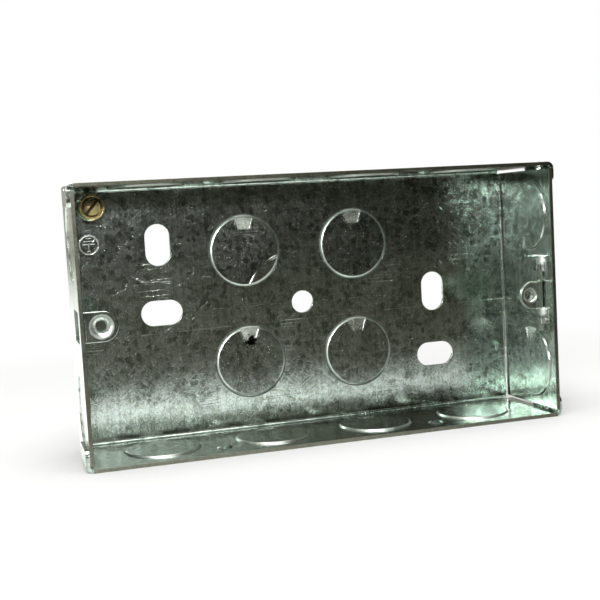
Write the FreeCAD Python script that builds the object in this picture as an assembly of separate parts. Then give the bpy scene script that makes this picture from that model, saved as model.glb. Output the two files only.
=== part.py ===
import FreeCAD, Part
import math
import os
from FreeCAD import Vector

# Flush back box for a double wiring accessory, folded from one galvanised sheet.
# Millimetres. Origin: centre of the middle fixing hole, in the plane of the back's rear face.
# +X runs along the length to the sliding lug's end, +Y goes back into the wall, +Z is up.
# The open front faces -Y.

# Folded sheet
sheet = 1.0                  # thickness of the steel
bend_inside = 0.8            # inside radius of every main fold
box_height = 72.0            # over the two long walls
box_depth = 30.0             # rear face of the back to the rim
lug_spacing = 120.6          # between the two accessory screws
lug_inset = 5.7              # accessory screw to the outer face of its end wall
corner_gap = 0.8             # open seam between an end wall's edge and the long wall

# Corner tabs: the ends of the long walls, folded round the end walls at the rim
tab_reach = 5.7              # from the long wall's outer face to the tab's end
tab_length = 15.0            # along the depth, from the rim
tab_setback = 0.8            # rim to the tab's front edge
tab_corner = 1.8             # corner radius of the tab's free end
tab_relief = 2.5             # round relief hole in the tab's fold
tab_relief_setback = 7.3     # rim to the middle of the relief hole

# Knockouts, sheared most of the way through and pushed inwards
knockout = 20.3              # sheared disc
knockout_ring = 0.7          # drawn-in edge round the disc
knockout_step = 0.4          # how far the disc stands in
web_width = 7.0              # unsheared web that holds the disc
web_land = 0.5               # flat part of the web, from the sheared edge to its bent flank
web_length = 3.6             # how far the bent flank runs into the disc
web_taper = 0.45             # inner width of that flank, as a share of web_width
tie_setback = 6.6            # middle of the top left disc to the flank of its second tie
tie_length = 3.8             # length of that tie's conical flank
tie_bow = 15.7               # radius of the flank's inner edge
tie_turn = 138.0             # degrees from the web to that tie, clockwise from the front

# Places of the knockouts
back_knockout_x = 32.7       # between neighbours in the back, along the length
back_knockout_z = 31.8       # between neighbours in the back, up
long_knockout_pitch = 30.3   # between neighbours in a long wall
long_knockout_height = 15.5  # above the back's rear face
end_knockout_pitch = 43.1    # between the two of an end wall
end_knockout_height = 17.2   # above the back's rear face

# Fixing holes
centre_hole = 6.4
slot_width = 7.0
slot_length = 11.6
slot_offset = 41.0           # from the middle of the back, along the length
slot_step = 19.0             # from the middle of the back, up or down

# Small pips pressed inwards in the long walls, between the knockouts
pip_foot = 4.2
pip_top = 2.4
pip_height = 0.5
pip_setback = 7.0            # rim to the middle of a pip

# Lugs
lug_setback = 4.5            # rim to the front face of both lugs
lug_bend_inside = 0.5
fixed_lug_width = 7.9
fixed_lug_nose = 4.3         # screw to the end of the lug
fixed_lug_flare = 1.4        # drawn-in entry of its threaded collar
lance_gap = 0.15             # sheared clearance beside a lanced strip
lug_edge = 0.25              # rounded front edge of both lugs
screw_thread = 2.9           # bore of the accessory thread
collar_wall = 0.7
collar_length = 2.3          # front face of the lug to the end of the collar

# Sliding lug and the two bridges that hold it
slide_clearance = 0.08       # strip to the wall, and strip to a bridge
slide_width = 7.8            # lug plate, along its travel
slide_nose = 2.9             # screw to the end of the plate
slide_flare = 1.0
slide_drop = 1.4             # the lug has slid down by this much
slide_stop_clearance = 0.05
strip_width = 5.3
strip_length = 21.0
strip_corner = 2.6
strip_setback = 0.3          # front face of the lug to the strip's front edge
lug_notch = 0.6              # relief beside the lug's fold
bridge_width = 4.2
bridge_gap = 10.8            # clear height between the bridges
bridge_run = 1.4             # length of a bridge's slope
bridge_bend_inside = 0.9
bridge_foot = 0.8
bridge_side_room = 0.3       # strip's edge to the fold of a bridge

# Earth terminal in the upper corner of the fixed lug's end
earth_from_end = 7.2         # to the outer face of the end wall
earth_from_top = 5.7         # to the outer face of the long wall
boss_height = 4.2            # above the back's inner face
boss_top = 5.8
boss_draft = 0.4             # how much wider the boss is at its foot
boss_foot = 0.45             # foot fillet
boss_wall = 0.8
earth_thread = 3.4
earth_root = 2.8             # the shank's core, where its thread comes out behind the boss
thread_play = 0.05           # on the radius, between the plain shank and its hole
earth_screw_length = 5.0     # below the head
earth_head = 4.4
earth_head_height = 2.0
earth_head_crown = 0.35
earth_slot_width = 0.8
earth_slot_depth = 0.9
earth_slot_turn = 50.0       # degrees from the length of the box
cup_outside = 7.0
cup_inside = 5.3
cup_height = 2.2
cup_floor = 0.5

# Worked out from the sizes above
box_width = lug_spacing + 2 * lug_inset
bend_outside = bend_inside + sheet
half_x = box_width / 2
half_z = box_height / 2
rim = -box_depth
end_wall_half = half_z - sheet - corner_gap
ring_radius = knockout / 2 + knockout_ring
lug_face = rim + lug_setback
lug_back = lug_face + sheet
fixed_x = -lug_spacing / 2
slide_x = lug_spacing / 2
strip_back_x = half_x - sheet - slide_clearance
strip_front = lug_face + strip_setback
strip_rear = strip_front + strip_width
bridge_rise = 2 * (sheet + slide_clearance)
earth_x = -half_x + earth_from_end
earth_z = half_z - earth_from_top
boss_face = -sheet - boss_height

# Directions of the box's walls
ACROSS = Vector(1, 0, 0)
BACK = Vector(0, 1, 0)
UP = Vector(0, 0, 1)


def block(x_range, y_range, z_range):
    """A plain rectangular solid between two limits along each axis."""
    low = Vector(x_range[0], y_range[0], z_range[0])
    return Part.makeBox(x_range[1] - low.x, y_range[1] - low.y, z_range[1] - low.z, low)


def rod(radius, start, direction, length):
    """A round solid from start along direction."""
    return Part.makeCylinder(radius, length, start, direction)


def rounded_run(points, radii):
    """Edges along a run of straight lines, each inner corner rounded to its radius."""
    edges = []
    start = points[0]
    for before, corner, after, radius in zip(points, points[1:], points[2:], radii):
        inwards = (before - corner).normalize()
        onwards = (after - corner).normalize()
        half_turn = (math.pi - inwards.getAngle(onwards)) / 2
        trim = radius * math.tan(half_turn)
        middle_way = (inwards + onwards).normalize()
        first = corner + inwards * trim
        last = corner + onwards * trim
        middle = corner + middle_way * (radius / math.cos(half_turn) - radius)
        edges.append(Part.makeLine(start, first))
        edges.append(Part.Arc(first, middle, last).toShape())
        start = last
    edges.append(Part.makeLine(start, points[-1]))
    return edges


def folded(path, axis, start, length, inside=bend_inside, thickness=sheet):
    """Sheet of even thickness along a path of straight runs with true folds, carried along axis.

    The path lies on one face of the sheet, which fills the side to the left of its direction.
    Each corner has the inside radius on its hollow side and that plus the thickness outside.
    """
    u, v = {"X": (BACK, UP), "Y": (ACROSS, UP), "Z": (ACROSS, BACK)}[axis]
    way = {"X": ACROSS, "Y": BACK, "Z": UP}[axis]
    flat = [Vector(a, b, 0) for a, b in path]
    steps = [(b - a).normalize() for a, b in zip(flat, flat[1:])]
    lefts = [Vector(-s.y, s.x, 0) for s in steps]
    near_radii = []
    far_radii = []
    far = [flat[0] + lefts[0] * thickness]
    for corner, s1, s2, n1, n2 in zip(flat[1:], steps, steps[1:], lefts, lefts[1:]):
        turns_left = s1.cross(s2).z > 0
        near_radii.append(inside + thickness if turns_left else inside)
        far_radii.append(inside if turns_left else inside + thickness)
        far.append(corner + (n1 + n2) * (thickness / (1 + n1.dot(n2))))
    far.append(flat[-1] + lefts[-1] * thickness)

    def place(points):
        return [u * p.x + v * p.y + way * start for p in points]

    near_run = place(flat)
    far_run = place(far)
    edges = rounded_run(near_run, near_radii)
    edges.append(Part.makeLine(near_run[-1], far_run[-1]))
    edges += rounded_run(far_run[::-1], far_radii[::-1])
    edges.append(Part.makeLine(far_run[0], near_run[0]))
    face = Part.Face(Part.Wire(Part.__sortEdges__(edges)))
    return face.extrude(way * length)


def turned(profile, centre, axis=BACK):
    """A solid of revolution; profile holds (radius, distance along axis) pairs, or an arc's three."""
    side = ACROSS
    edges = []
    for segment in profile:
        points = [centre + side * r + axis * d for r, d in segment]
        if len(points) == 2:
            edges.append(Part.makeLine(*points))
        else:
            edges.append(Part.Arc(*points).toShape())
    face = Part.Face(Part.Wire(Part.__sortEdges__(edges)))
    return face.revolve(centre, axis, 360)


def chain(*points):
    """Straight segments from each (radius, distance) pair to the next."""
    return list(zip(points, points[1:]))


def set_on_wall(shape, foot, outwards, towards):
    """Moves a shape made round the origin to a face of a wall, its Z along outwards."""
    moved = shape.copy()
    turn = FreeCAD.Rotation(towards, outwards.cross(towards), outwards, "ZXY")
    moved.Placement = FreeCAD.Placement(foot, turn)
    return moved


def wedge(near, length, half_near, half_far):
    """The sheet left in place by a bent flank that starts at near from a disc's middle.

    The flank climbs the knockout's step over its length and stays flat from there outwards.
    """
    far = ring_radius + sheet
    depth_near = knockout_step
    depth_far = -knockout_step * (far - near - length) / length
    plan = Part.makePolygon([Vector(near, -half_near, 0), Vector(far, -half_far, 0),
                             Vector(far, half_far, 0), Vector(near, half_near, 0),
                             Vector(near, -half_near, 0)])
    block_up = Part.Face(plan).extrude(UP * depth_near)
    widest = max(half_near, half_far)
    flank = Part.makePolygon([Vector(near, -widest, depth_near), Vector(far, -widest, depth_far),
                              Vector(far, -widest, depth_near), Vector(near, -widest, depth_near)])
    return block_up.common(Part.Face(flank).extrude(BACK * 2 * widest))


def knockout_shapes(ties):
    """The hollow and the raised disc of one knockout, its middle at the origin, Z inwards."""
    hollow = Part.makeCone(ring_radius, knockout / 2, knockout_step)
    disc = Part.makeCone(knockout / 2, knockout / 2 - knockout_step / 2, knockout_step,
                         UP * sheet)
    for turn, kept in ties:
        stay = kept.copy()
        stay.rotate(Vector(), UP, turn)
        hollow = hollow.cut(stay)
        disc = disc.cut(stay.translated(UP * sheet))
    return hollow, disc


def knockout_places():
    """Middle, inward direction, direction of the web and second tie of each knockout."""
    places = []
    for x in (-back_knockout_x / 2, back_knockout_x / 2):
        for z in (-back_knockout_z / 2, back_knockout_z / 2):
            places.append((Vector(x, 0, z), BACK * -1, UP, x < 0 < z))
    for side in (-1, 1):
        for n in range(4):
            x = (n - 1.5) * long_knockout_pitch
            foot = Vector(x, -long_knockout_height, side * half_z)
            places.append((foot, UP * -side, BACK, False))
        for up in (-1, 1):
            foot = Vector(side * half_x, -end_knockout_height, up * end_knockout_pitch / 2)
            places.append((foot, ACROSS * -side, UP * -up, False))
    return places


def pips():
    """The pips of both long walls, and the dimples that they leave outside."""
    foot_r = pip_foot / 2
    top_r = pip_top / 2
    bump = Part.makeCone(foot_r, top_r, pip_height)
    side = (foot_r - top_r) / pip_height
    dimple_r = foot_r - sheet * (math.sqrt(1 + side * side) - 1) / side
    dimple = Part.makeCone(dimple_r, dimple_r - side * pip_height, pip_height)
    bumps = []
    dimples = []
    for x in (-long_knockout_pitch, long_knockout_pitch):
        for up in (-1, 1):
            outside = Vector(x, rim + pip_setback, up * half_z)
            bumps.append(set_on_wall(bump, outside - UP * up * sheet, UP * -up, BACK))
            dimples.append(set_on_wall(dimple, outside, UP * -up, BACK))
    return bumps, dimples


def slot(x, z, upright):
    """A through slot with round ends in the back."""
    straight = slot_length - slot_width
    run = UP if upright else ACROSS
    middle = Vector(x, -2 * sheet, z)
    ends = [middle + run * (straight / 2 * end) for end in (-1, 1)]
    shape = rod(slot_width / 2, ends[0], BACK, 4 * sheet)
    shape = shape.fuse(rod(slot_width / 2, ends[1], BACK, 4 * sheet))
    a, b = slot_width / 2, straight / 2
    dx, dz = (a, b) if upright else (b, a)
    return shape.fuse(block((x - dx, x + dx), (-2 * sheet, 2 * sheet), (z - dz, z + dz)))


def threaded_collar(x, z, flare):
    """Flared entry and drawn collar of an accessory screw's thread, behind a lug's front face."""
    bore = screw_thread / 2
    mouth = bore + flare
    bend = flare * (1 - math.sqrt(0.5))
    entry = [(mouth, 0), (bore + bend, bend), (bore, flare)]
    rest = chain((bore, flare), (bore, collar_length), (bore + collar_wall, collar_length),
                 (bore + collar_wall, sheet), (mouth, sheet), (mouth, 0))
    return turned([entry] + rest, Vector(x, lug_face, z))


def with_thread(lug, x, z, flare):
    """Rounds a lug's front edge and draws the threaded collar of an accessory screw into it."""
    front = [edge for edge in lug.Edges
             if all(abs(vertex.Y - lug_face) < lance_gap / 10 for vertex in edge.Vertexes)
             and edge.BoundBox.XLength > lug_edge]
    lug = lug.makeFillet(lug_edge, front)
    opening = rod(screw_thread / 2 + flare, Vector(x, lug_face - sheet, z), BACK, 3 * sheet)
    return lug.cut(opening).fuse(threaded_collar(x, z, flare))


def lug_outline(x_root, x_nose, half_width, z):
    """A lug's outline seen from the front, carried through its thickness: straight, then round."""
    inwards = 1 if x_nose > x_root else -1
    x_round = x_nose - inwards * half_width
    outline = block(sorted((x_root, x_round)), (lug_face - sheet, lug_back + sheet),
                    (z - half_width, z + half_width))
    return outline.fuse(rod(half_width, Vector(x_round, lug_face - sheet, z), BACK, 3 * sheet))


def corner_tabs():
    """A long wall's front stretch, with the tabs at both its ends folded down."""
    outer = half_x + sheet
    path = [(outer, half_z - tab_reach), (outer, half_z), (-outer, half_z), (-outer, half_z - tab_reach)]
    strip = folded(path, "Y", rim, tab_length)
    tab_front = rim + tab_setback
    for side in (-1, 1):
        fold = Vector(side * (half_x - bend_inside), rim + tab_relief_setback, half_z - bend_outside)
        strip = strip.cut(rod(tab_relief / 2, fold, Vector(side, 0, 1), 2 * bend_outside))
        beyond = side * (half_x + 2 * sheet)
        strip = strip.cut(block(sorted((fold.x, beyond)), (rim, tab_front), (0, half_z + sheet)))
        inner = side * (half_x - sheet)
        centre_z = half_z - tab_reach + tab_corner
        for edge, way in ((tab_front, 1), (rim + tab_length, -1)):
            centre_y = edge + way * tab_corner
            waste = block(sorted((inner, beyond)), sorted((edge, centre_y)),
                          (centre_z - tab_corner, centre_z))
            keep = rod(tab_corner, Vector(inner, centre_y, centre_z), ACROSS * side, 3 * sheet)
            strip = strip.cut(waste.cut(keep))
    return strip


def folded_sheet():
    """The back and its four walls, before any hole."""
    long_path = [(rim, -half_z), (0, -half_z), (0, half_z), (rim, half_z)]
    end_path = [(half_x, rim), (half_x, 0), (-half_x, 0), (-half_x, rim)]
    long_fold = folded(long_path, "X", bend_outside - half_x, 2 * (half_x - bend_outside))
    end_fold = folded(end_path, "Z", -end_wall_half, 2 * end_wall_half)
    top = corner_tabs().fuse(block((-half_x, half_x), (rim + tab_length, -bend_outside),
                                   (half_z - sheet, half_z)))
    bottom = top.mirror(Vector(), UP)
    return long_fold.multiFuse([end_fold, top, bottom])


def fixed_lug():
    """The tongue lanced out of the end wall, bent inwards behind the rim, with its thread."""
    nose = fixed_x + fixed_lug_nose
    front = lug_face - lug_bend_inside - lug_setback / 2
    path = [(nose, lug_back), (-half_x, lug_back), (-half_x, front)]
    half_width = fixed_lug_width / 2
    strip = folded(path, "Z", -half_width, fixed_lug_width, inside=lug_bend_inside)
    outline = lug_outline(-half_x - sheet, nose, half_width, 0)
    root = block((-half_x - sheet, -half_x + sheet), (rim, lug_back), (-half_width, half_width))
    return with_thread(strip.common(outline.fuse(root)), fixed_x, 0, fixed_lug_flare)


def fixed_lug_window():
    """The opening that the fixed lug leaves in its end wall."""
    developed = half_x + fixed_x + fixed_lug_nose
    half_width = fixed_lug_width / 2 + lance_gap
    front = lug_face - lug_bend_inside
    return block((-half_x - sheet, -half_x + 2 * sheet), (front, lug_back + developed),
                 (-half_width, half_width))


def bridge_path():
    """A bridge's section on the wall's outer face: foot, slope, flat, slope, foot."""
    front = strip_front - bridge_side_room
    rear = strip_rear + bridge_side_room
    high = half_x - bridge_rise
    return [(half_x, front - bridge_run - bridge_foot), (half_x, front - bridge_run), (high, front),
            (high, rear), (half_x, rear + bridge_run), (half_x, rear + bridge_run + bridge_foot)]


def bridge_bottoms():
    """The lower edge of each bridge along the height of the end wall."""
    return (-bridge_gap / 2 - bridge_width, bridge_gap / 2)


def bridges():
    """The two strips of the end wall pressed inwards over the sliding lug."""
    path = bridge_path()
    return [folded(path, "Z", low, bridge_width, inside=bridge_bend_inside) for low in bridge_bottoms()]


def bridge_windows():
    """The openings that the bridges leave in the end wall."""
    path = bridge_path()
    span = (path[0][1] + bridge_foot / 2, path[-1][1] - bridge_foot / 2)
    return [block((half_x - 2 * sheet, half_x + sheet), span,
                  (low - lance_gap, low + bridge_width + lance_gap)) for low in bridge_bottoms()]


def earth_boss():
    """The boss drawn up from the back for the earth screw: outside, then its hollow from the rear."""
    top = boss_top / 2
    foot = top + boss_draft
    outside = chain((0, boss_face), (top, boss_face), (foot, -sheet - boss_foot))
    bend = boss_foot * (1 - math.sqrt(0.5))
    fillet = [(foot, -sheet - boss_foot), (foot + bend, -sheet - bend), (foot + boss_foot, -sheet)]
    outside.append(fillet)
    outside += chain((foot + boss_foot, -sheet), (foot + boss_foot, 0), (0, 0), (0, boss_face))
    centre = Vector(earth_x, 0, earth_z)
    inner = top - boss_wall
    hollow = turned(chain((0, sheet), (inner + boss_draft, sheet), (inner + boss_draft, 0),
                          (inner, boss_face + sheet), (0, boss_face + sheet), (0, sheet)), centre)
    hole = rod(earth_thread / 2 + thread_play, centre + BACK * (boss_face - sheet), BACK, 3 * sheet)
    return turned(outside, centre), hollow.fuse(hole)


def back_box():
    """The whole folded sheet with its knockouts, slots, holes, fixed lug, bridges and boss."""
    web = wedge(knockout / 2 - web_land - web_length, web_length,
                web_width * web_taper / 2, web_width / 2)
    tie = Part.makeCone(tie_bow - tie_length, tie_bow, knockout_step,
                        Vector(tie_setback + tie_bow, 0, 0))
    plain = knockout_shapes([(0, web)])
    tied = knockout_shapes([(0, web), (-tie_turn, tie)])
    waste = []
    discs = []
    for foot, inwards, towards, has_tie in knockout_places():
        hollow, disc = tied if has_tie else plain
        waste.append(set_on_wall(hollow, foot, inwards, towards))
        discs.append(set_on_wall(disc, foot, inwards, towards))
    waste.append(rod(centre_hole / 2, Vector(0, -2 * sheet, 0), BACK, 4 * sheet))
    waste.append(slot(-slot_offset, slot_step, True))
    waste.append(slot(-slot_offset, 0, False))
    waste.append(slot(slot_offset, 0, True))
    waste.append(slot(slot_offset, -slot_step, False))
    waste.append(fixed_lug_window())
    waste += bridge_windows()
    boss, boss_hollow = earth_boss()
    bumps, dimples = pips()
    body = folded_sheet().removeSplitter().cut(waste)
    body = body.multiFuse(discs + bumps + [fixed_lug(), boss] + bridges())
    return body.cut(dimples + [boss_hollow]).removeSplitter()


def adjustable_lug():
    """The strip that slides behind the bridges, with its lug bent inwards at the front edge."""
    middle = -slide_drop
    half_width = slide_width / 2
    half_strip = strip_length / 2
    strip_face_x = strip_back_x - sheet
    nose = slide_x - slide_nose
    path = [(nose, lug_face), (strip_back_x, lug_face), (strip_back_x, strip_rear)]
    bent = folded(path, "Z", middle - half_width, slide_width, inside=lug_bend_inside)
    outline = lug_outline(strip_back_x, nose, half_width, middle)
    strip_zone = block((strip_face_x, strip_back_x), (lug_face, strip_rear),
                       (middle - half_width, middle + half_width))
    bent = bent.common(outline.fuse(strip_zone))
    strip = block((strip_face_x, strip_back_x), (strip_front, strip_rear),
                  (middle - half_strip, middle + half_strip))
    fold_zone = block((strip_face_x, strip_back_x), (lug_face, lug_back + lug_bend_inside),
                      (middle - half_width - lug_notch, middle + half_width + lug_notch))
    strip = strip.cut(fold_zone)
    for end in (-1, 1):
        corner_y = strip_rear - strip_corner
        corner_z = middle + end * (half_strip - strip_corner)
        waste = block((strip_face_x, strip_back_x), (corner_y, strip_rear),
                      sorted((corner_z, corner_z + end * strip_corner)))
        keep = rod(strip_corner, Vector(strip_face_x, corner_y, corner_z), ACROSS, sheet)
        strip = strip.cut(waste.cut(keep))
    return with_thread(strip.fuse(bent).removeSplitter(), slide_x, middle, slide_flare).removeSplitter()


def earth_screw():
    """A slotted brass screw: full diameter in the boss's tapped wall, its core behind it."""
    seat = boss_face - cup_floor
    head_r = earth_head / 2
    shank_r = earth_thread / 2
    root_r = earth_root / 2
    face = seat - earth_head_height
    tip = seat + earth_screw_length
    shoulder = boss_face + sheet
    point = root_r / 4
    crown = [(0, face), (head_r / 2, face + earth_head_crown / 4), (head_r, face + earth_head_crown)]
    side = chain((head_r, face + earth_head_crown), (head_r, seat), (shank_r, seat), (shank_r, shoulder),
                 (root_r, shoulder), (root_r, tip - point), (root_r - point, tip), (0, tip), (0, face))
    screw = turned([crown] + side, Vector(earth_x, 0, earth_z))
    cut = block((-earth_head, earth_head), (face - sheet, face + earth_slot_depth),
                (-earth_slot_width / 2, earth_slot_width / 2))
    cut.rotate(Vector(), BACK, -earth_slot_turn)
    cut.translate(Vector(earth_x, 0, earth_z))
    return screw.cut(cut)


def cup_washer():
    """A brass cup washer whose rolled rim stands round the screw's head."""
    outer = cup_outside / 2
    inner = cup_inside / 2
    roll = (outer - inner) / 2
    front = boss_face - cup_height
    hole = earth_thread / 2 + 2 * thread_play
    curl = [(inner, front + roll), (inner + roll, front), (outer, front + roll)]
    rest = chain((outer, front + roll), (outer, boss_face - cup_floor), (outer - cup_floor, boss_face),
                 (hole, boss_face), (hole, boss_face - cup_floor), (inner, boss_face - cup_floor),
                 (inner, front + roll))
    return turned([curl] + rest, Vector(earth_x, 0, earth_z))


os.makedirs("parts", exist_ok=True)
nodes = {
    "back_box": back_box,
    "adjustable_lug": adjustable_lug,
    "earth_screw": earth_screw,
    "cup_washer": cup_washer,
}
for name, make in nodes.items():
    shape = make()
    box = shape.BoundBox
    print(name, len(shape.Solids), shape.isValid(), round(shape.Volume, 3),
          [round(v, 3) for v in (box.XMin, box.YMin, box.ZMin, box.XMax, box.YMax, box.ZMax)])
    shape.exportStep(f"parts/{name}.step")
play = (bridge_gap - slide_width) / 2 - slide_stop_clearance
print("sliding lug travel", round(slide_drop - play, 3), round(slide_drop + play, 3))
print("lug screws at", fixed_x, slide_x, "lug face", lug_face, "drop", slide_drop)
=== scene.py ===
import math

import bpy
import numpy as np
from mathutils import Matrix, Vector


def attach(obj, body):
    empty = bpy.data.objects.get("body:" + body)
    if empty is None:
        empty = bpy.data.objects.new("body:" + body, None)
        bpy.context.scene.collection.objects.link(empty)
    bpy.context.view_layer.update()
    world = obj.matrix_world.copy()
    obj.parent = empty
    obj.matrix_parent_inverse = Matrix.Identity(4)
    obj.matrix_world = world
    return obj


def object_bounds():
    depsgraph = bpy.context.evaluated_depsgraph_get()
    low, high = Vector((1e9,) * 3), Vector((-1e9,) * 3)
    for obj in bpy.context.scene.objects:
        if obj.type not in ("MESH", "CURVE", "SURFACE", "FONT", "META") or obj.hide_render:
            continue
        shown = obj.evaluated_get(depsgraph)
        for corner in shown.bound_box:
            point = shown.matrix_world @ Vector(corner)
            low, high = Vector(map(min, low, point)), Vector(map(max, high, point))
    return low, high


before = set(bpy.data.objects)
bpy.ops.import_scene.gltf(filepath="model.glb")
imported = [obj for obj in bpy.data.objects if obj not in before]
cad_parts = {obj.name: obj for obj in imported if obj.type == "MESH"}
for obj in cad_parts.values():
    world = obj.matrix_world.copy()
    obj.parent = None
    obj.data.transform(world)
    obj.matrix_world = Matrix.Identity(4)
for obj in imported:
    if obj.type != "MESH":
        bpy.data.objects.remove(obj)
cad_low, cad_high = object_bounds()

# The folded box: one sheet of 1 mm mild steel, hot-dip galvanised before it is blanked,
# so its faces carry the zinc's crystals and rolling streaks, and its sheared edges are bare.
# It is folded on a press brake, and its knockouts and bridges are pressed in the same tool.
back_front = -1.0            # front face of the back, mm
long_fold = 34.2             # where the back turns into the long walls, from the middle
end_fold = 64.2              # where it turns into the end walls
sheared_rim = 29.75          # depth at which the rim's cut face begins
crystal_size = 3.4
flake_size = 1.3
streak_stretch = 0.03        # the rolling streaks run up the box
crystal_lean = 0.02          # how far one crystal's face leans from its neighbour's
edge_round = 0.22            # what the press leaves of a sheared edge
knockout_radius = 10.15
knockout_gap = 0.1           # from the disc to the middle of the sheared line
back_knockout_x = 16.35      # centres in the back, from its middle
back_knockout_z = 15.9
wall_knockout_pair = 30.3    # middle of each half of a long wall
wall_knockout_x = 15.15      # centres from there
wall_knockout_y = -15.5
end_knockout_y = -17.2
end_knockout_z = 21.55
web_slope = 0.332            # half the width of a knockout's web to its distance from the centre
disc_lean = 0.03             # the discs hang from their webs, so they lean a little
fixed_lug_x = -60.3
bridge_y = -26.0             # front slope of the bridges
bridge_middle_z = 1.1        # halfway between the two highlighted corners
bridge_corner_z = 7.4        # from there to each of them
dark_zinc = (0.24, 0.29, 0.243, 1.0)
pale_zinc = (0.675, 0.775, 0.72, 1.0)
# Bare steel, also the colour of the painted highlights
bare_steel_and_highlight = (0.79, 0.84, 0.77, 1.0)
# A near black, painted as shade in the knockouts' gaps and on the rim's cut face
shade_black = (0.035, 0.033, 0.028, 1.0)
olive = (0.20, 0.20, 0.14, 1.0)
# The dark olive of the painted reflection along the lower fold
fold_reflection_olive = (0.05, 0.055, 0.03, 1.0)
black_dirt = (0.008, 0.007, 0.004, 1.0)


class Level:
    """A value that varies over a surface; Python's operators on it add maths nodes."""

    def __init__(self, finish, socket):
        self.finish = finish
        self.socket = socket

    def other(self, name):
        return Level(self.finish, self.socket.node.outputs[name])

    def __add__(self, value):
        return self.finish.maths("ADD", self, value)

    def __sub__(self, value):
        return self.finish.maths("SUBTRACT", self, value)

    def __rsub__(self, value):
        return self.finish.maths("SUBTRACT", value, self)

    def __mul__(self, value):
        return self.finish.maths("MULTIPLY", self, value)

    def __pow__(self, value):
        return self.finish.maths("POWER", self, value)

    def __abs__(self):
        return self.finish.maths("ABSOLUTE", self)

    __radd__ = __add__
    __rmul__ = __mul__


class Finish:
    """One material: its shader, and the nodes that steer it."""

    def __init__(self, name, fixed):
        self.material = bpy.data.materials.new(name)
        self.material.use_nodes = True
        self.tree = self.material.node_tree
        self.shader = self.tree.nodes["Principled BSDF"]
        for socket, value in fixed.items():
            self.shader.inputs[socket].default_value = value

    def feed(self, socket, value):
        if isinstance(value, Level):
            self.tree.links.new(value.socket, socket)
        else:
            socket.default_value = value

    def add(self, kind, settings=None, inputs=None, output=0):
        """Makes a node: its settings first, then the values or links of its sockets."""
        node = self.tree.nodes.new(kind)
        for name, value in (settings or {}).items():
            setattr(node, name, value)
        for name, value in (inputs or {}).items():
            self.feed(node.inputs[name], value)
        if node.outputs:
            return Level(self, node.outputs[output])

    def maths(self, operation, *values):
        return self.add("ShaderNodeMath", {"operation": operation}, dict(enumerate(values)))

    def vector(self, operation, first, second):
        """Two vectors or colours joined, part by part."""
        return self.add("ShaderNodeVectorMath", {"operation": operation}, {0: first, 1: second})

    def scaled(self, first, share):
        return self.add("ShaderNodeVectorMath", {"operation": "SCALE"}, {0: first, "Scale": share})

    def dot(self, first, second):
        return self.add("ShaderNodeVectorMath", {"operation": "DOT_PRODUCT"}, {0: first, 1: second}, "Value")

    def axis(self, vector, name):
        """One part of a place or a direction."""
        return self.add("ShaderNodeSeparateXYZ", None, {0: vector}, name)

    def rise(self, value, low, high):
        """0 below low, 1 above high, with a smooth ramp between."""
        return self.add("ShaderNodeMapRange", {"interpolation_type": "SMOOTHSTEP"},
                        {"Value": value, "From Min": low, "From Max": high})

    def fall(self, value, low, high):
        """1 below low, 0 above high."""
        return 1 - self.rise(value, low, high)

    def mix(self, share, first, second):
        """first where share is 0 and second where it is 1, as colours."""
        return self.add("ShaderNodeMix", {"data_type": "RGBA"}, {0: share, 6: first, 7: second}, 2)

    def place(self):
        """Where a point of the piece is, in millimetres."""
        return self.scaled(self.add("ShaderNodeTexCoord", output="Object"), 1000.0)

    def moved(self, at, turn=(0, 0, 0), stretch=(1, 1, 1), shift=(0, 0, 0)):
        return self.add("ShaderNodeMapping", None,
                        {"Vector": at, "Location": shift, "Rotation": turn, "Scale": stretch})

    def noise(self, at, size, detail=3.0, roughness=0.5, output="Fac"):
        return self.add("ShaderNodeTexNoise", {"noise_dimensions": "3D"},
                        {"Vector": at, "Scale": 1 / size, "Detail": detail, "Roughness": roughness}, output)

    def warped(self, at, size, amount):
        """The same place, pushed about by a noise."""
        push = self.vector("SUBTRACT", self.noise(at, size, 2.0, 0.5, "Color"), (0.5, 0.5, 0.5))
        return self.vector("ADD", at, self.scaled(push, amount))

    def cells(self, at, size):
        """A colour of its own for each crystal."""
        return self.add("ShaderNodeTexVoronoi", {"feature": "F1"}, {"Vector": at, "Scale": 1 / size}, "Color")

    def eased(self, radius):
        """The surface's direction, with its edges rounded by a radius in millimetres."""
        return self.add("ShaderNodeBevel", {"samples": 6}, {"Radius": radius / 1000})

    def strip(self, along, half_length, across, half_width, soft=0.06):
        """1 inside a straight stroke, 0 outside."""
        inside = self.fall(abs(across), half_width - soft, half_width + soft)
        return inside * self.fall(abs(along), half_length - soft, half_length + soft)

    def finished(self, colour, rough, height, facing):
        """Feeds the shader; height is the relief in metres on a surface that looks along facing."""
        relief = self.add("ShaderNodeBump", None,
                          {"Strength": 1.0, "Distance": 1.0, "Height": height, "Normal": facing})
        self.feed(self.shader.inputs["Base Color"], colour)
        self.feed(self.shader.inputs["Roughness"], rough)
        self.feed(self.shader.inputs["Normal"], relief)
        return self.material


def reach(u, v):
    """How far a place is from where u and v are both 0."""
    return (u * u + v * v) ** 0.5


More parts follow.
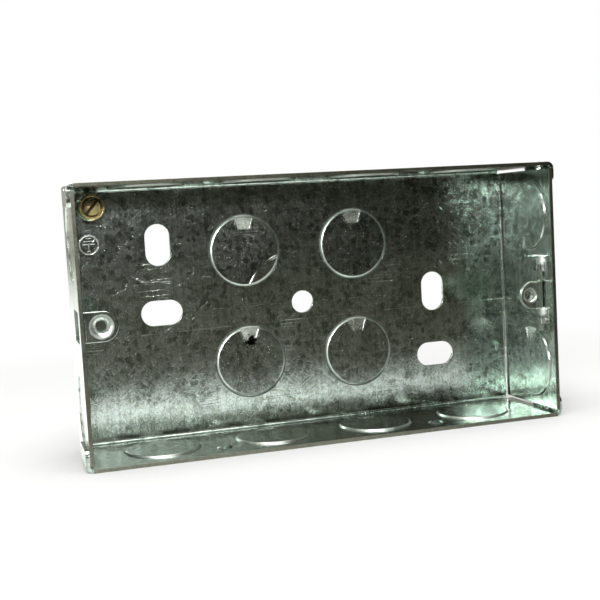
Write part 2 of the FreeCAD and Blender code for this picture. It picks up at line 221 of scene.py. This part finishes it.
def galvanised(name, of_box):
    """Zinc-coated steel; of_box adds what only the box has: lug, symbol, die line and dirt."""
    finish = Finish(name, {"Metallic": 1.0})
    at = finish.place()
    x = finish.axis(at, "X")
    y = x.other("Y")
    z = x.other("Z")
    on_long = finish.rise(abs(z), long_fold, long_fold + 0.2)
    on_end = finish.rise(abs(x), end_fold, end_fold + 0.2) * (1 - on_long)
    on_rear = (1 - on_long) * (1 - on_end)

    # Crystals, the flakes and feathers in them, clouds, rolling streaks and bright specks
    crystals = finish.cells(finish.warped(at, 2.6, 3.6), crystal_size)
    flakes = finish.cells(finish.warped(at, 0.9, 1.4), flake_size)
    crystal = finish.add("ShaderNodeSeparateColor", None, {0: crystals}, "Red")
    flake = finish.add("ShaderNodeSeparateColor", None, {0: flakes}, "Green")
    leaning = finish.vector("SUBTRACT", crystals, (0.5, 0.5, 0.5))
    along = finish.dot(at, leaning)
    feather = finish.add("ShaderNodeTexNoise", {"noise_dimensions": "1D"},
                         {"W": along * 3.0 + finish.noise(at, 1.6) * 2.0, "Scale": 1.0, "Detail": 2.0})
    cloud = finish.noise(at, 14.0, 6.0, 0.66)
    grain = finish.noise(at, 0.9, 5.0, 0.75)
    rolled = finish.noise(finish.moved(at, stretch=(1.0, 1.0, streak_stretch)), 0.8, 3.0, 0.6)
    tone = crystal * 0.12 + flake * 0.10 + feather * 0.35 + cloud * 0.5 + grain * 0.5 + rolled * 0.5 - 0.47
    shard = finish.fall(flake, 0.20, 0.27) * finish.rise(finish.noise(at, 9.0), 0.35, 0.6)
    fine = finish.noise(finish.moved(at, stretch=(1.0, 1.0, 0.4)), 0.3, 2.0, 0.7)
    specks = finish.rise(finish.noise(at, 0.5, 2.0, 0.7), 0.64, 0.72)
    tone = (tone - 0.5) * 1.4 + 0.56 - shard * 0.26 + (fine - 0.5) * 1.3 + specks * 0.45
    tint = finish.scaled(finish.noise(at, 0.5, 2.0, 0.7, "Color"), 0.5)
    tint = finish.vector("ADD", tint, (0.75, 0.75, 0.75))

    face = finish.add("ShaderNodeNewGeometry", output="Normal")
    eased = finish.eased(edge_round)
    edge = finish.fall(finish.dot(face, eased), 0.86, 0.995)
    # Painted highlight along the rounded edges, which are also bare where sheared
    bare_edge_and_highlight = edge * finish.rise(finish.noise(at, 3.0, 3.0, 0.6), 0.38, 0.62)

    # Painted shade: the long walls, and the lower half of the end walls, are a little darker than the back
    colour = finish.mix(finish.rise(tone, 0.12, 0.98), dark_zinc, pale_zinc)
    shaded_low_end = on_end * finish.rise(0 - z, 5.0, 20.0)
    tint = finish.scaled(tint, 1 - on_long * 0.3 - shaded_low_end * 0.3)
    colour = finish.vector("MULTIPLY", colour, tint)
    colour = finish.mix(bare_edge_and_highlight * (0.8 if of_box else 0.3), colour, bare_steel_and_highlight)
    rough = 0.09 + flake * 0.04 + cloud * 0.09 + specks * 0.12

    # The line round each knockout that the punch sheared, painted dark as shade in its gap, its rolled edge
    # with a painted highlight, and its stretched web
    sheared = 0.0
    rolled_edge = 0.0
    ring_highlight = 0.0
    leaned = 0.0
    stretched = 0.0
    half_sign = finish.rise(z, -0.1, 0.1) * 2 - 1
    on_back = (on_rear, abs(x) - back_knockout_x, z - half_sign * back_knockout_z)
    on_walls = (on_long, abs(abs(x) - wall_knockout_pair) - wall_knockout_x, y - wall_knockout_y)
    on_ends = (on_end, y - end_knockout_y, end_knockout_z - abs(z))
    for zone, u, v in (on_back, on_walls, on_ends):
        radius = reach(u, v)
        around = finish.fall(abs(radius - knockout_radius - knockout_gap), 0.04, 0.15)
        sheared = around * zone + sheared
        roll_and_highlight_share = zone * (1 - on_end * 0.8) * (1 - on_long * finish.rise(v, -4.0, 5.0) * 0.9)
        leaned = finish.fall(radius, 9.6, 10.0) * zone * on_rear + leaned
        rolled_edge = finish.rise(radius, 9.4, 10.1) * roll_and_highlight_share + rolled_edge
        ring_highlight = finish.rise(radius, 9.4, 9.8) * finish.fall(radius, 10.1, 10.2) * roll_and_highlight_share + ring_highlight
        fan = finish.rise(v, 5.3, 6.9) * finish.fall(v, 9.8, 10.1)
        stretched = fan * finish.fall(abs(u) - v * web_slope, -0.5, 0.5) * zone + stretched
    colour = finish.mix(stretched * 0.5, colour, bare_steel_and_highlight)
    # Painted highlight on the rolled edges, on the front side of the rings in the long walls
    colour = finish.mix(ring_highlight * 0.7, colour, bare_steel_and_highlight)
    # Painted shade in the sheared gap round each disc
    colour = finish.mix(sheared * 0.85, colour, shade_black)
    rough = rough + sheared * 0.3 + ring_highlight * 0.2 + stretched * 0.1

    # Painted dark reflection along the inside of the lower fold, broken up by a noise
    dark_fold_band = finish.rise(0 - z, 32.3, 33.8) * on_rear * finish.rise(finish.noise(at, 7.0), 0.2, 0.6)
    colour = finish.mix(dark_fold_band * finish.rise(y, -1.2, -1.1) * 0.85, colour, fold_reflection_olive)

    # The rim's own sheared face, painted dark olive as shade
    cut = finish.rise(0 - y, sheared_rim, sheared_rim + 0.15)
    colour = finish.mix(cut * 0.9, colour, finish.mix(finish.noise(at, 0.7), shade_black, olive))
    rough = rough + cut * 0.2

    # Painted highlight along the folds and drawn rings, broken into dashes by a noise
    nx = finish.axis(finish.add("ShaderNodeVectorMath", {"operation": "ABSOLUTE"}, {0: face}), "X")
    square = finish.maths("MAXIMUM", finish.maths("MAXIMUM", nx, nx.other("Y")), nx.other("Z"))
    bend_highlight = finish.fall(square, 0.90, 0.985)
    colour = finish.mix(bend_highlight * finish.rise(finish.noise(at, 2.2), 0.35, 0.6) * 0.6, colour, bare_steel_and_highlight)
    rough = rough + bend_highlight * 0.03

    # Fine scratches, each a thin hair along its own direction
    height = grain * 0.000014 + feather * 0.00001 + crystal * 0.000006 + fine * 0.000012
    height = height - sheared * 0.0001 - rolled_edge * 0.00016
    for turn, shift in ((0.5, 3.0), (-0.9, 11.0), (1.9, 29.0)):
        laid = finish.moved(at, turn=(0, turn, 0), stretch=(0.02, 1, 1), shift=(shift, shift, shift))
        hair = finish.fall(abs(finish.noise(laid, 3.4, 1.0, 0.5) - 0.5), 0.0008, 0.003)
        hair = hair * finish.rise(finish.noise(at, 16.0, 1.0, 0.5), 0.55, 0.7)
        height = height - hair * 0.000006
        colour = finish.mix(hair * 0.2, colour, bare_steel_and_highlight)

    if not of_box:
        # The strip is duller than the box, from sliding in its bridges
        colour = finish.mix(0.45, colour, olive)
        rough = rough + 0.14
    if of_box:
        # The fixed lug's drawn collar, painted bright as a highlight
        collar = finish.fall(reach(x - fixed_lug_x, z), 3.0, 3.4) * finish.fall(y, -24.0, -23.5)
        colour = finish.mix(collar * 0.5, colour, bare_steel_and_highlight)
        rough = rough + collar * 0.2
        # Painted highlights on the bridges' front upper corners
        bridge = finish.rise(x, 62.2, 62.5) * finish.fall(x, 64.7, 64.9) * finish.rise(0 - y, 8.0, 9.0)
        corner = reach(y - bridge_y, abs(z - bridge_middle_z) - bridge_corner_z)
        bridge = bridge * finish.fall(corner, 0.6, 1.5)
        colour = finish.mix(bridge * 0.7, colour, bare_steel_and_highlight)
        rough = rough + bridge * 0.2
        plain = finish.rise(y, back_front - 0.52, back_front - 0.48) * finish.fall(y, -0.6, -0.5)
        # Protective earth symbol, stamped upside down under the terminal
        ex = x + 59.8
        ez = z - 20.3
        mark = finish.fall(abs(reach(ex, ez) - 2.55), 0.17, 0.29)
        for half, up in ((0.7, 1.75), (1.3, 0.95), (1.7, 0.15), (0.5, -1.8)):
            mark = finish.maths("MAXIMUM", mark, finish.strip(ex, half, ez - up, 0.15))
        mark = finish.maths("MAXIMUM", mark, finish.strip(ez + 0.85, 0.95, ex, 0.15))
        mark = mark * plain
        colour = finish.mix(mark * 0.6, colour, bare_steel_and_highlight)
        rough = rough + mark * 0.1
        height = height - mark * 0.00001
        # The die's line across the back, bright where the sheet dragged
        line = finish.fall(abs(z - x * 0.0176 + 4.97), 0.04, 0.2)
        line = line * plain * finish.rise(finish.noise(at, 6.0, 3.0, 0.7), 0.25, 0.6)
        colour = finish.mix(line * 0.6, colour, bare_steel_and_highlight)
        height = height - line * 0.000012
        # Painted highlights at the corners of the upper left knockout's second tie, which is bowed
        bow = abs(reach(x + 1.43, z + 0.67) - 15.45)
        out = reach(x + back_knockout_x, z - back_knockout_z)
        tie = finish.fall(bow, 0.1, 0.45) * finish.rise(out, 6.4, 9.3) * finish.fall(out, 10.0, 10.2)
        tie = tie * plain
        colour = finish.mix(tie * 0.8, colour, bare_steel_and_highlight)
        height = height + tie * 0.00008
        # Dirt on the lower left knockout
        dirt = reach(x + 15.9, z + 9.9) + finish.noise(at, 0.8, 3.0, 0.7) * 5.0
        dirt = finish.fall(dirt, 3.8, 4.1) * plain
        colour = finish.mix(dirt, colour, black_dirt)
        rough = rough + dirt * 0.1

    tilt = finish.scaled(leaning, crystal_lean)
    tilt = finish.vector("ADD", tilt, finish.scaled((0.0, 0.0, disc_lean), leaned))
    facing = finish.add("ShaderNodeVectorMath", {"operation": "NORMALIZE"},
                        {0: finish.vector("ADD", eased, tilt)})
    return finish.finished(colour, rough, height, facing)


def dress(node, material):
    """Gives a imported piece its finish."""
    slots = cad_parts[node].data.materials
    slots.clear()
    slots.append(material)


dress("back_box", galvanised("galvanised_box", True))

# The sliding lug: a strip of the same galvanised sheet behind the two bridges, its tongue bent in
# and drawn into a collar that is tapped for the accessory's screw.
dress("adjustable_lug", galvanised("galvanised_lug", False))

# The tapped threads of both lugs: M3.5 x 0.6, cut into the drawn collars after galvanising,
# so their flanks are bare steel. The sliding lug's thread moves with it.
tap_root = 1.47
tap_crest = 1.28
thread_pitch = 0.6
tap_end = -23.2


def helix_ridge(name, centre, root, crest, start, end, outwards=False):
    """A thread's ridge: a triangle of base 0.8 pitch carried along a helix about Y.

    Across the ridge the radius goes root, crest, root; along it the angle turns and the point
    moves by one pitch a turn, and the height fades to nothing over the first and last half turn.
    """
    turns = (end - start) / thread_pitch
    angle = np.linspace(0, 2 * np.pi * turns, int(turns * 40) + 1)[:, None]
    fade = np.clip(np.minimum(angle, angle[-1] - angle) / np.pi, 0, 1)
    across = np.array([-0.4, -0.06, 0.06, 0.4])[None, :]
    rise = np.array([0.0, 1.0, 1.0, 0.0])[None, :]
    radius = root + (crest - root) * rise * fade
    y = start + thread_pitch * angle / (2 * np.pi) + across * thread_pitch
    points = np.stack([centre[0] + radius * np.cos(angle), y, centre[1] + radius * np.sin(angle)], -1)
    rows, columns = points.shape[:2]
    n = np.arange(rows * columns).reshape(rows, columns)
    quads = np.stack([n[:-1, :-1], n[:-1, 1:], n[1:, 1:], n[1:, :-1]], -1).reshape(-1, 4)
    if outwards:
        quads = quads[:, ::-1]
    mesh = bpy.data.meshes.new(name)
    mesh.from_pydata((points.reshape(-1, 3) / 1000).tolist(), [], quads.tolist())
    piece = bpy.data.objects.new(name, mesh)
    bpy.context.scene.collection.objects.link(piece)
    return piece


tapped = Finish("tapped_steel", {"Metallic": 1.0, "Roughness": 0.28})
tapped.feed(tapped.shader.inputs["Base Color"],
            tapped.mix(tapped.noise(tapped.place(), 0.5), (0.30, 0.31, 0.30, 1), (0.6, 0.61, 0.58, 1)))
for side, centre, start, body in (("fixed", (fixed_lug_x, 0.0), -24.35, "box"),
                                  ("sliding", (60.3, -1.4), -24.75, "lug")):
    thread = helix_ridge(f"{side}_lug_thread", centre, tap_root, tap_crest, start, tap_end)
    thread.data.materials.append(tapped.material)
    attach(thread, body)

# The earth terminal: a turned brass screw with a sawn slot, in a pressed brass cup washer on the
# boss of the back. Both are bright and tarnished brown in patches, with painted shade in the gap round
# the head and a painted shadow along their top.
terminal_x = -58.8
terminal_z = 30.3
head_gap = 2.42              # middle of the gap between head and washer, from the axis
slot_turn = 50.0             # degrees from the length of the box
slot_half = 0.4


def brass(name, seed, sawn=False):
    """Brass: polished high spots, brown and duller in patches, painted shade round the head and a painted
    shadow along the top; sawn adds painted light and shade on the head's two halves and painted shade in its
    slot.
    """
    finish = Finish(name, {"Metallic": 1.0})
    at = finish.place()
    stain = finish.noise(finish.moved(at, shift=(seed, seed, seed)), 1.8, 5.0, 0.65)
    turned_marks = finish.noise(at, 0.22, 2.0, 0.6)
    from_axis = finish.moved(at, stretch=(1, 0, 1), shift=(-terminal_x, 0, -terminal_z))
    out = finish.add("ShaderNodeVectorMath", {"operation": "LENGTH"}, {0: from_axis}, "Value")
    gap = finish.fall(abs(out - head_gap), 0.1, 0.34)
    dull = finish.rise(stain, 0.42, 0.66)
    colour = finish.mix(dull, (0.95, 0.80, 0.40, 1), (0.60, 0.45, 0.20, 1))
    # Painted shade in the gap between head and washer
    colour = finish.mix(gap * 0.8, colour, (0.05, 0.035, 0.015, 1))
    over = finish.axis(from_axis, "Z")
    # Painted shadow along the top of each piece
    colour = finish.mix(finish.rise(over, 0.3, 2.1) * 0.75, colour, (0.10, 0.07, 0.03, 1))
    rough = 0.17 + dull * 0.22
    if sawn:
        # Painted light and shade: the half of the head below its slot is painted bright, the other half
        # darker brown
        turn = math.radians(slot_turn)
        aside = finish.dot(from_axis, (math.sin(turn), 0.0, -math.cos(turn)))
        lit_half = finish.rise(aside, 0.3, 0.5)
        colour = finish.mix((1 - lit_half) * 0.5, colour, (0.45, 0.31, 0.22, 1))
        colour = finish.mix(lit_half * 0.8, colour, (1.0, 0.86, 0.40, 1))
        rough = rough + lit_half * 0.28
        # Painted shade in the slot
        slot_shade = finish.fall(abs(aside), slot_half - 0.06, slot_half + 0.06)
        colour = finish.mix(slot_shade * 0.9, colour, (0.03, 0.02, 0.01, 1))
    height = turned_marks * 0.000018 + stain * 0.00004
    return finish.finished(colour, rough, height, finish.eased(0.16))


dress("earth_screw", brass("brass_screw", 3.0, sawn=True))
dress("cup_washer", brass("brass_washer", 17.0))

# The earth screw's own thread, where its shank comes out behind the boss: M3.5 x 0.6, rolled
# from the same brass as the rest of the screw.
shank_root = 1.39
shank_crest = 1.7
shank = helix_ridge("earth_screw_thread", (terminal_x, terminal_z), shank_root, shank_crest, -4.15, -0.95,
                    outwards=True)
shank.data.materials.append(brass("brass_thread", 29.0))
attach(shank, "box")

# The table: a seamless white sweep that the box stands on, with a painted pool of light round the box that
# darkens towards the photographer.
# For the camera it is white paper with the box's soft shadow on it.
floor_z = float(cad_low[2])
floor_mesh = bpy.data.meshes.new("floor")
floor_corners = [(-3, -3, floor_z), (3, -3, floor_z), (3, 3, floor_z), (-3, 3, floor_z)]
floor_mesh.from_pydata(floor_corners, [], [(0, 1, 2, 3)])
floor = bpy.data.objects.new("floor", floor_mesh)
bpy.context.scene.collection.objects.link(floor)
paper = Finish("white_paper", {"Roughness": 0.9, "Specular IOR Level": 0.1})
spot = paper.place()
across = paper.axis(spot, "X")
# Painted pool of light: the colour is dark far in front of the box and a little darker to its right
painted_light_pool = paper.rise(across.other("Y"), -150.0, -30.0) ** 3.0 * (1 - paper.rise(across, 0.0, 60.0) * 0.35)
away = paper.add("ShaderNodeVectorMath", {"operation": "LENGTH"}, {0: spot}, "Value")
far = paper.rise(away, 110.0, 260.0)
paper.feed(paper.shader.inputs["Base Color"],
           paper.mix(painted_light_pool, (0.032, 0.029, 0.020, 1), (0.95, 0.95, 0.95, 1)))
pale = paper.add("ShaderNodeBsdfDiffuse", None, {"Color": (0.55, 0.55, 0.55, 1)})
glow = paper.add("ShaderNodeEmission", None, {"Color": (1, 1, 1, 1), "Strength": 1.0})
camera_sees = paper.add("ShaderNodeLightPath", output="Is Camera Ray")
beside = paper.add("ShaderNodeMixShader", None, {0: 0.1 + far * 0.9, 1: pale, 2: glow})
shown = paper.add("ShaderNodeMixShader", None,
                  {0: camera_sees, 1: Level(paper, paper.shader.outputs[0]), 2: beside})
paper.feed(paper.tree.nodes["Material Output"].inputs["Surface"], shown)
floor.data.materials.append(paper.material)


# The room: white for the camera, dim on the side that the photographer stands on, and paler
# behind the box, to its left and in one patch of the ceiling.
class Room(Finish):
    """The same helpers for the world's own nodes."""

    def __init__(self, name):
        self.material = bpy.data.worlds.new(name)
        self.material.use_nodes = True
        self.tree = self.material.node_tree
        self.tree.nodes.clear()


room = Room("studio")
bpy.context.scene.world = room.material
way = room.add("ShaderNodeTexCoord", output="Generated")
east = room.axis(way, "X")
behind = room.rise(east.other("Y"), -0.2, 0.6) * 0.45
left = room.rise(0 - east, 0.25, 0.75) * room.rise(east.other("Z"), 0.03, 0.2) * 0.6
ceiling = room.rise(room.dot(way, (0.165, -0.937, 0.309)), 0.966, 0.99) * 0.22
light = room.maths("MAXIMUM", room.maths("MAXIMUM", behind, left), 0.024) + ceiling
warm = room.mix(light, (1, 0.95, 0.7, 1), (1, 1, 1, 1))
dim = room.add("ShaderNodeBackground", None, {"Color": warm, "Strength": light})
white = room.add("ShaderNodeBackground", None, {"Color": (1, 1, 1, 1), "Strength": 1.0})
seen = room.add("ShaderNodeLightPath", output="Is Camera Ray")
mixed = room.add("ShaderNodeMixShader", None, {0: seen, 1: dim, 2: white})
room.add("ShaderNodeOutputWorld", None, {"Surface": mixed})


def lamp(name, kind, energy, azimuth, elevation, distance, size):
    """A light that looks at the box from an azimuth and an elevation, in degrees."""
    data = bpy.data.lights.new(name, kind)
    data.energy = energy
    if kind == "SUN":
        data.angle = math.radians(size)
    else:
        data.shape = "DISK"
        data.size = size
    a, e = math.radians(azimuth), math.radians(elevation)
    place = Vector((math.sin(a) * math.cos(e), -math.cos(a) * math.cos(e), math.sin(e))) * distance
    light = bpy.data.objects.new(name, data)
    light.location = place
    light.rotation_euler = (-place).to_track_quat("-Z", "Y").to_euler()
    bpy.context.scene.collection.objects.link(light)


lamp("key", "SUN", 0.5, -5.0, 11.5, 1.0, 1.5)
lamp("window", "AREA", 4.2, -32.0, 15.0, 1.0, 0.3)
lamp("softbox", "AREA", 0.45, 0.0, 21.0, 1.0, 0.5)
lamp("side_softbox", "AREA", 0.6, -27.0, 21.0, 1.0, 0.42)
lamp("overhead", "AREA", 18.0, -10.0, 78.0, 1.0, 0.9)
lamp("rear", "AREA", 1.0, 150.0, 50.0, 1.0, 0.9)

# The camera, low and a little left of the box, as it was photographed.
camera_place = Vector((-0.08641, -0.28833, 0.02585))
yaw, pitch, roll = math.radians(16.61), math.radians(-4.83), math.radians(-3.24)
focal_pixels = 1037.31       # focal length in pixels of the 600 pixel frame
sensor_width = 36
ahead = Vector((math.sin(yaw) * math.cos(pitch), math.cos(yaw) * math.cos(pitch), math.sin(pitch)))
level = Vector((math.cos(yaw), -math.sin(yaw), 0))
upright = level.cross(ahead)
right = level * math.cos(roll) + upright * math.sin(roll)
up = upright * math.cos(roll) - level * math.sin(roll)
lens = bpy.data.cameras.new("camera")
lens.lens = focal_pixels / 600 * sensor_width
lens.clip_start = 0.01
camera = bpy.data.objects.new("camera", lens)
camera.matrix_world = Matrix.Translation(camera_place) @ Matrix((right, up, -ahead)).transposed().to_4x4()
bpy.context.scene.collection.objects.link(camera)
bpy.context.scene.camera = camera
bpy.context.scene.view_settings.view_transform = "Standard"
